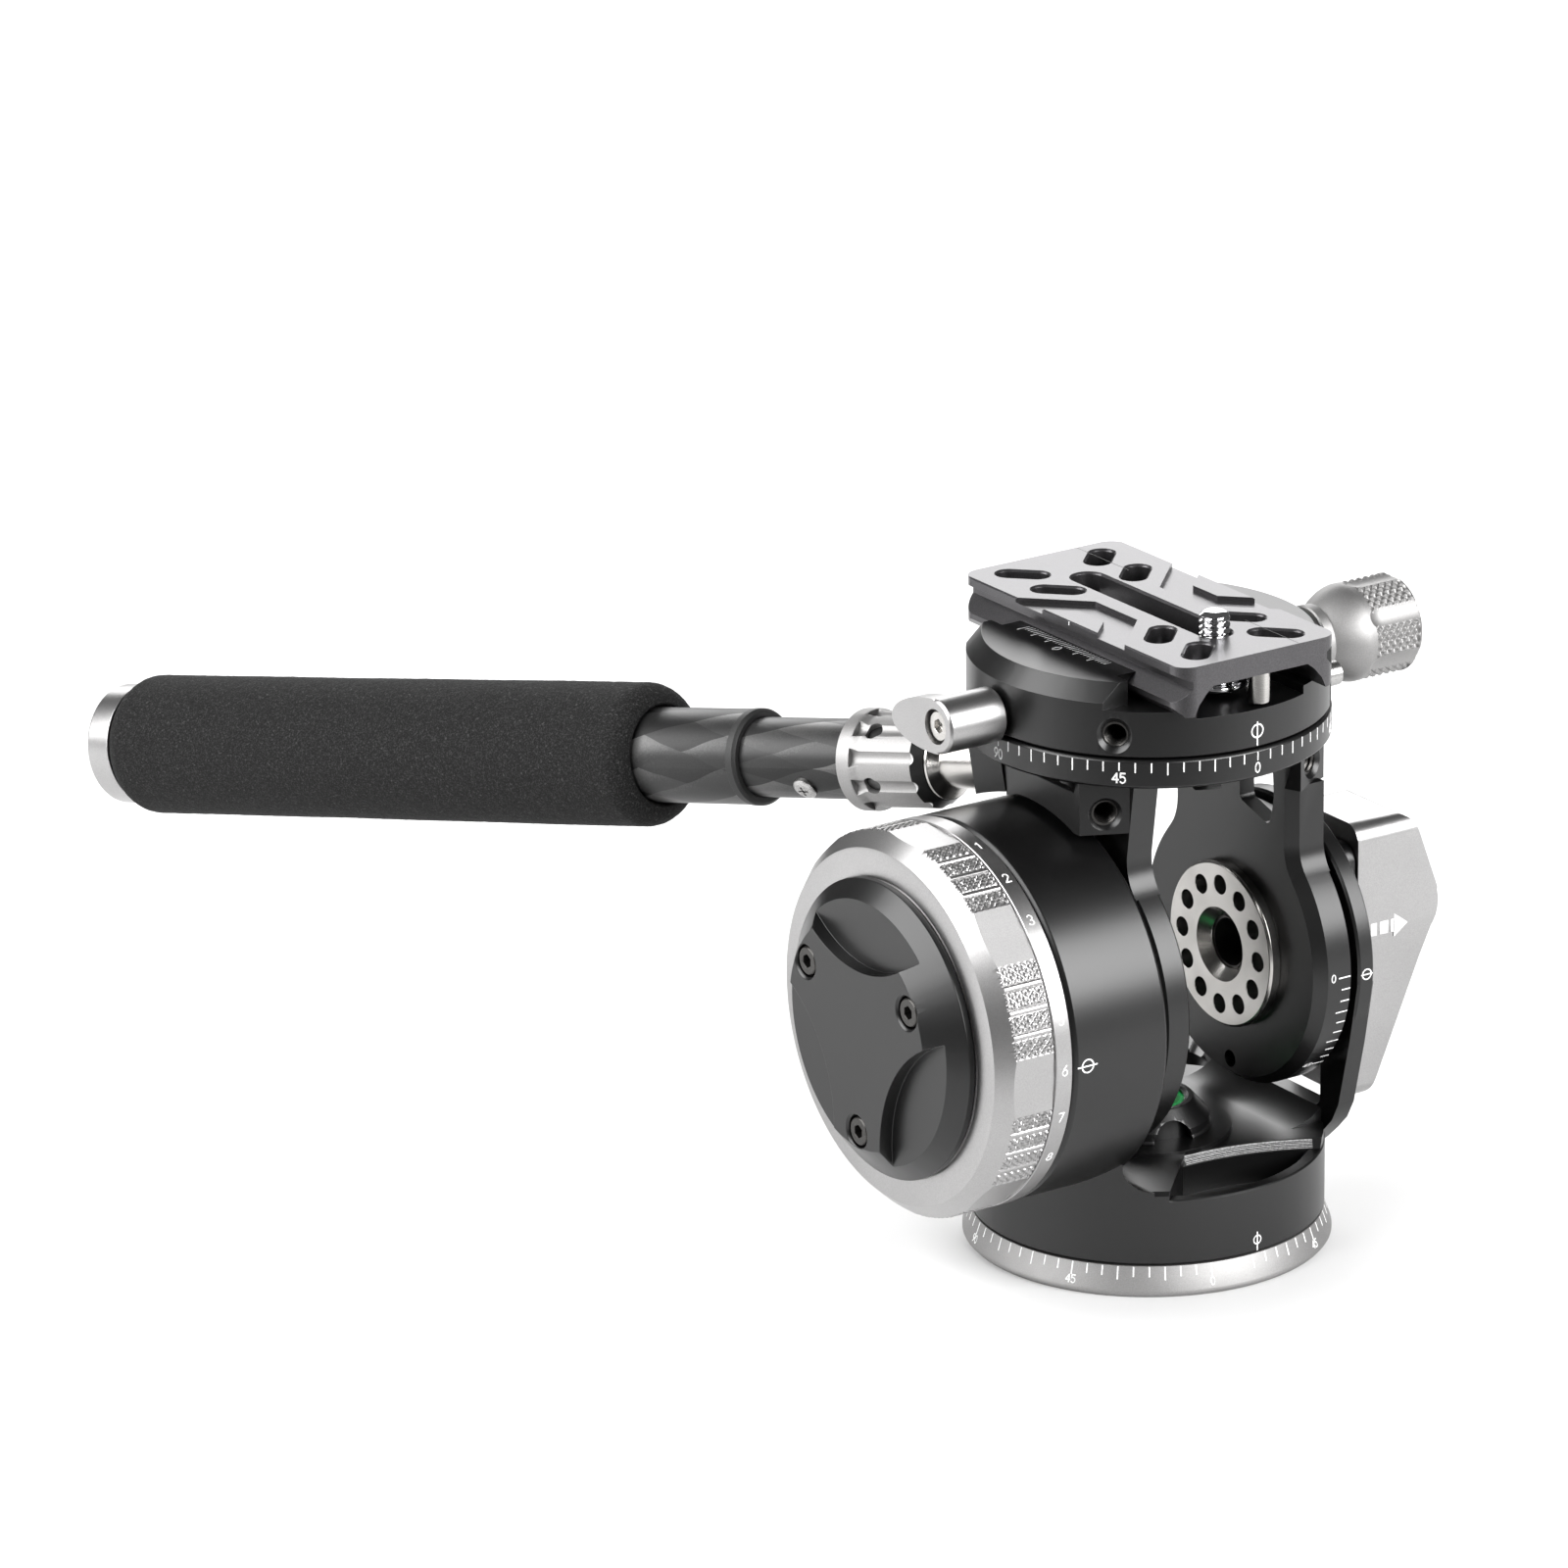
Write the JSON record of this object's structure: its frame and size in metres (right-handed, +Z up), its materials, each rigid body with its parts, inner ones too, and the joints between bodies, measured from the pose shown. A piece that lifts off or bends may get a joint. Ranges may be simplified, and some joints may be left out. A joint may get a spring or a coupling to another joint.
{
  "type": "long lens tripod head",
  "caption": "Panning tripod head with a side drag drum, a two-arm tilt cradle, a rotating dovetail clamp with quick-release plate and a telescopic foam-grip handle.",
  "frame": {"origin": "centre of the tripod seat, at the mouth of the tapped socket", "axes": "+Z up along the pan axis, +X along the tilt axis from the drag drum to the lock lever, +Y to the back where the handle points"},
  "size_m": [0.1705, 0.2931, 0.138],
  "materials": {
    "silver_anodised": "satin bead-blasted clear anodised",
    "black_anodised": "satin black anodised",
    "gunmetal_anodised": "satin gunmetal anodised",
    "stainless": "fine turned stainless",
    "plain_steel": "turned steel",
    "dark_screw": "dark burnished",
    "chrome": "bright plated",
    "bearing_bronze": "machined bearing bronze",
    "acetal": "moulded low-friction plastic",
    "vial_green": "clear vial with green fluid",
    "carbon": "satin carbon composite",
    "rubber_lip": "matt rubber",
    "foam": "closed-cell foam"
  },
  "bodies": {
    "base": {"base_ring": "silver_anodised", "pan_spindle": "plain_steel", "pan_washer": "acetal", "spindle_nut": "plain_steel"},
    "pan": {"pan_body": "black_anodised", "pan_bearing": "bearing_bronze", "drum_housing": "black_anodised", "tilt_upright": "black_anodised", "tilt_bearing_left": "bearing_bronze", "tilt_bearing_right": "bearing_bronze", "tilt_brake_disc": "plain_steel", "drag_cartridge": "plain_steel", "spring_stack": "plain_steel", "level_bezel": "black_anodised", "level_vial": "vial_green"},
    "pan_lock": {"pan_lock_knob": "black_anodised", "pan_lock_stud": "plain_steel"},
    "drag_dial": {"dial_ring": "silver_anodised", "dial_cap": "black_anodised", "cap_screws": "dark_screw", "drag_cam": "bearing_bronze"},
    "cradle": {"cradle_ring": "black_anodised", "arm_left": "black_anodised", "arm_right": "black_anodised", "hub_disc_right": "stainless", "hub_disc_left": "stainless", "tilt_shaft": "plain_steel", "tilt_trunnion": "dark_screw", "glide_ring": "acetal", "handle_stub": "stainless", "inner_tube": "carbon", "tube_screw": "dark_screw"},
    "tilt_lock": {"lock_hub": "black_anodised", "lock_stud": "dark_screw", "lever_screw": "plain_steel"},
    "lock_handle": {"lock_lever": "silver_anodised"},
    "clamp": {"clamp_base": "black_anodised", "clamp_pivot": "plain_steel", "pivot_nut": "plain_steel"},
    "top_lock": {"top_lock_lever": "silver_anodised", "top_lock_screw": "stainless"},
    "jaw": {"clamp_jaw": "black_anodised", "jaw_pins": "plain_steel"},
    "knob": {"clamp_knob": "silver_anodised", "knob_screw": "plain_steel", "knob_cap": "black_anodised"},
    "plate": {"plate": "gunmetal_anodised", "stop_pins": "stainless"},
    "screw_carrier": {"screw_clip": "plain_steel"},
    "camera_screw": {"camera_screw": "chrome", "d_ring": "chrome"},
    "collar": {"collar_bezel": "black_anodised", "handle_collar": "silver_anodised"},
    "grip": {"tube_lip": "rubber_lip", "outer_tube": "carbon", "foam_grip": "foam", "end_cap": "silver_anodised"}
  },
  "joints": [
    {"name": "pan_turn", "type": "hinge", "parent": "base", "child": "pan", "pos_m": [0, 0, 0.0065], "axis": [0, 0, 1], "continuous": true},
    {"name": "pan_lock_turn", "type": "hinge", "parent": "pan", "child": "pan_lock", "pos_m": [0.02828, 0.02828, 0.0135], "axis": [0.7071, 0.7071, 0], "range_deg": [-45, 180]},
    {"name": "drag_turn", "type": "hinge", "parent": "pan", "child": "drag_dial", "pos_m": [-0.055, 0, 0.0575], "axis": [1, 0, 0], "range_deg": [-30, 75]},
    {"name": "tilt", "type": "hinge", "parent": "pan", "child": "cradle", "pos_m": [0, 0, 0.0575], "axis": [1, 0, 0], "range_deg": [-70, 90]},
    {"name": "tilt_lock_turn", "type": "hinge", "parent": "pan", "child": "tilt_lock", "pos_m": [0.037, 0, 0.0575], "axis": [1, 0, 0], "range_deg": [-30, 100]},
    {"name": "lever_pull", "type": "slide", "parent": "tilt_lock", "child": "lock_handle", "axis": [1, 0, 0], "range_m": [0, 0.004], "stiffness_N_per_m": 600, "springref_m": -0.003},
    {"name": "clamp_turn", "type": "hinge", "parent": "cradle", "child": "clamp", "pos_m": [0, 0, 0.1135], "axis": [0, 0, 1], "continuous": true},
    {"name": "top_lock_turn", "type": "hinge", "parent": "clamp", "child": "top_lock", "pos_m": [-0.043, 0.0015, 0.1173], "axis": [1, 0, 0], "range_deg": [-15, 75]},
    {"name": "knob_turn", "type": "hinge", "parent": "jaw", "child": "knob", "pos_m": [0.05, 0, 0.118], "axis": [1, 0, 0], "range_deg": [0, 1080.5]},
    {"name": "jaw_slide", "type": "slide", "parent": "clamp", "child": "jaw", "axis": [1, 0, 0], "range_m": [0, 0.003]},
    {"name": "plate_slide", "type": "slide", "parent": "clamp", "child": "plate", "axis": [0, 1, 0], "range_m": [-0.008, 0.008]},
    {"name": "screw_slide", "type": "slide", "parent": "plate", "child": "screw_carrier", "axis": [0, 1, 0], "range_m": [0, 0.042]},
    {"name": "screw_turn", "type": "hinge", "parent": "screw_carrier", "child": "camera_screw", "pos_m": [0, -0.022, 0.13], "axis": [0, 0, 1], "continuous": true},
    {"name": "collar_turn", "type": "hinge", "parent": "cradle", "child": "collar", "pos_m": [-0.03052, 0.04004, 0.09539], "axis": [-0.2825, 0.9398, -0.1924], "range_deg": [-45, 90]},
    {"name": "grip_slide", "type": "slide", "parent": "cradle", "child": "grip", "axis": [-0.2825, 0.9398, -0.1924], "range_m": [-0.01, 0.08]}
  ],
  "couplings": [
    {"joint": "knob_turn", "follows": "jaw_slide", "rad_per_m": 6283.2}
  ]
}
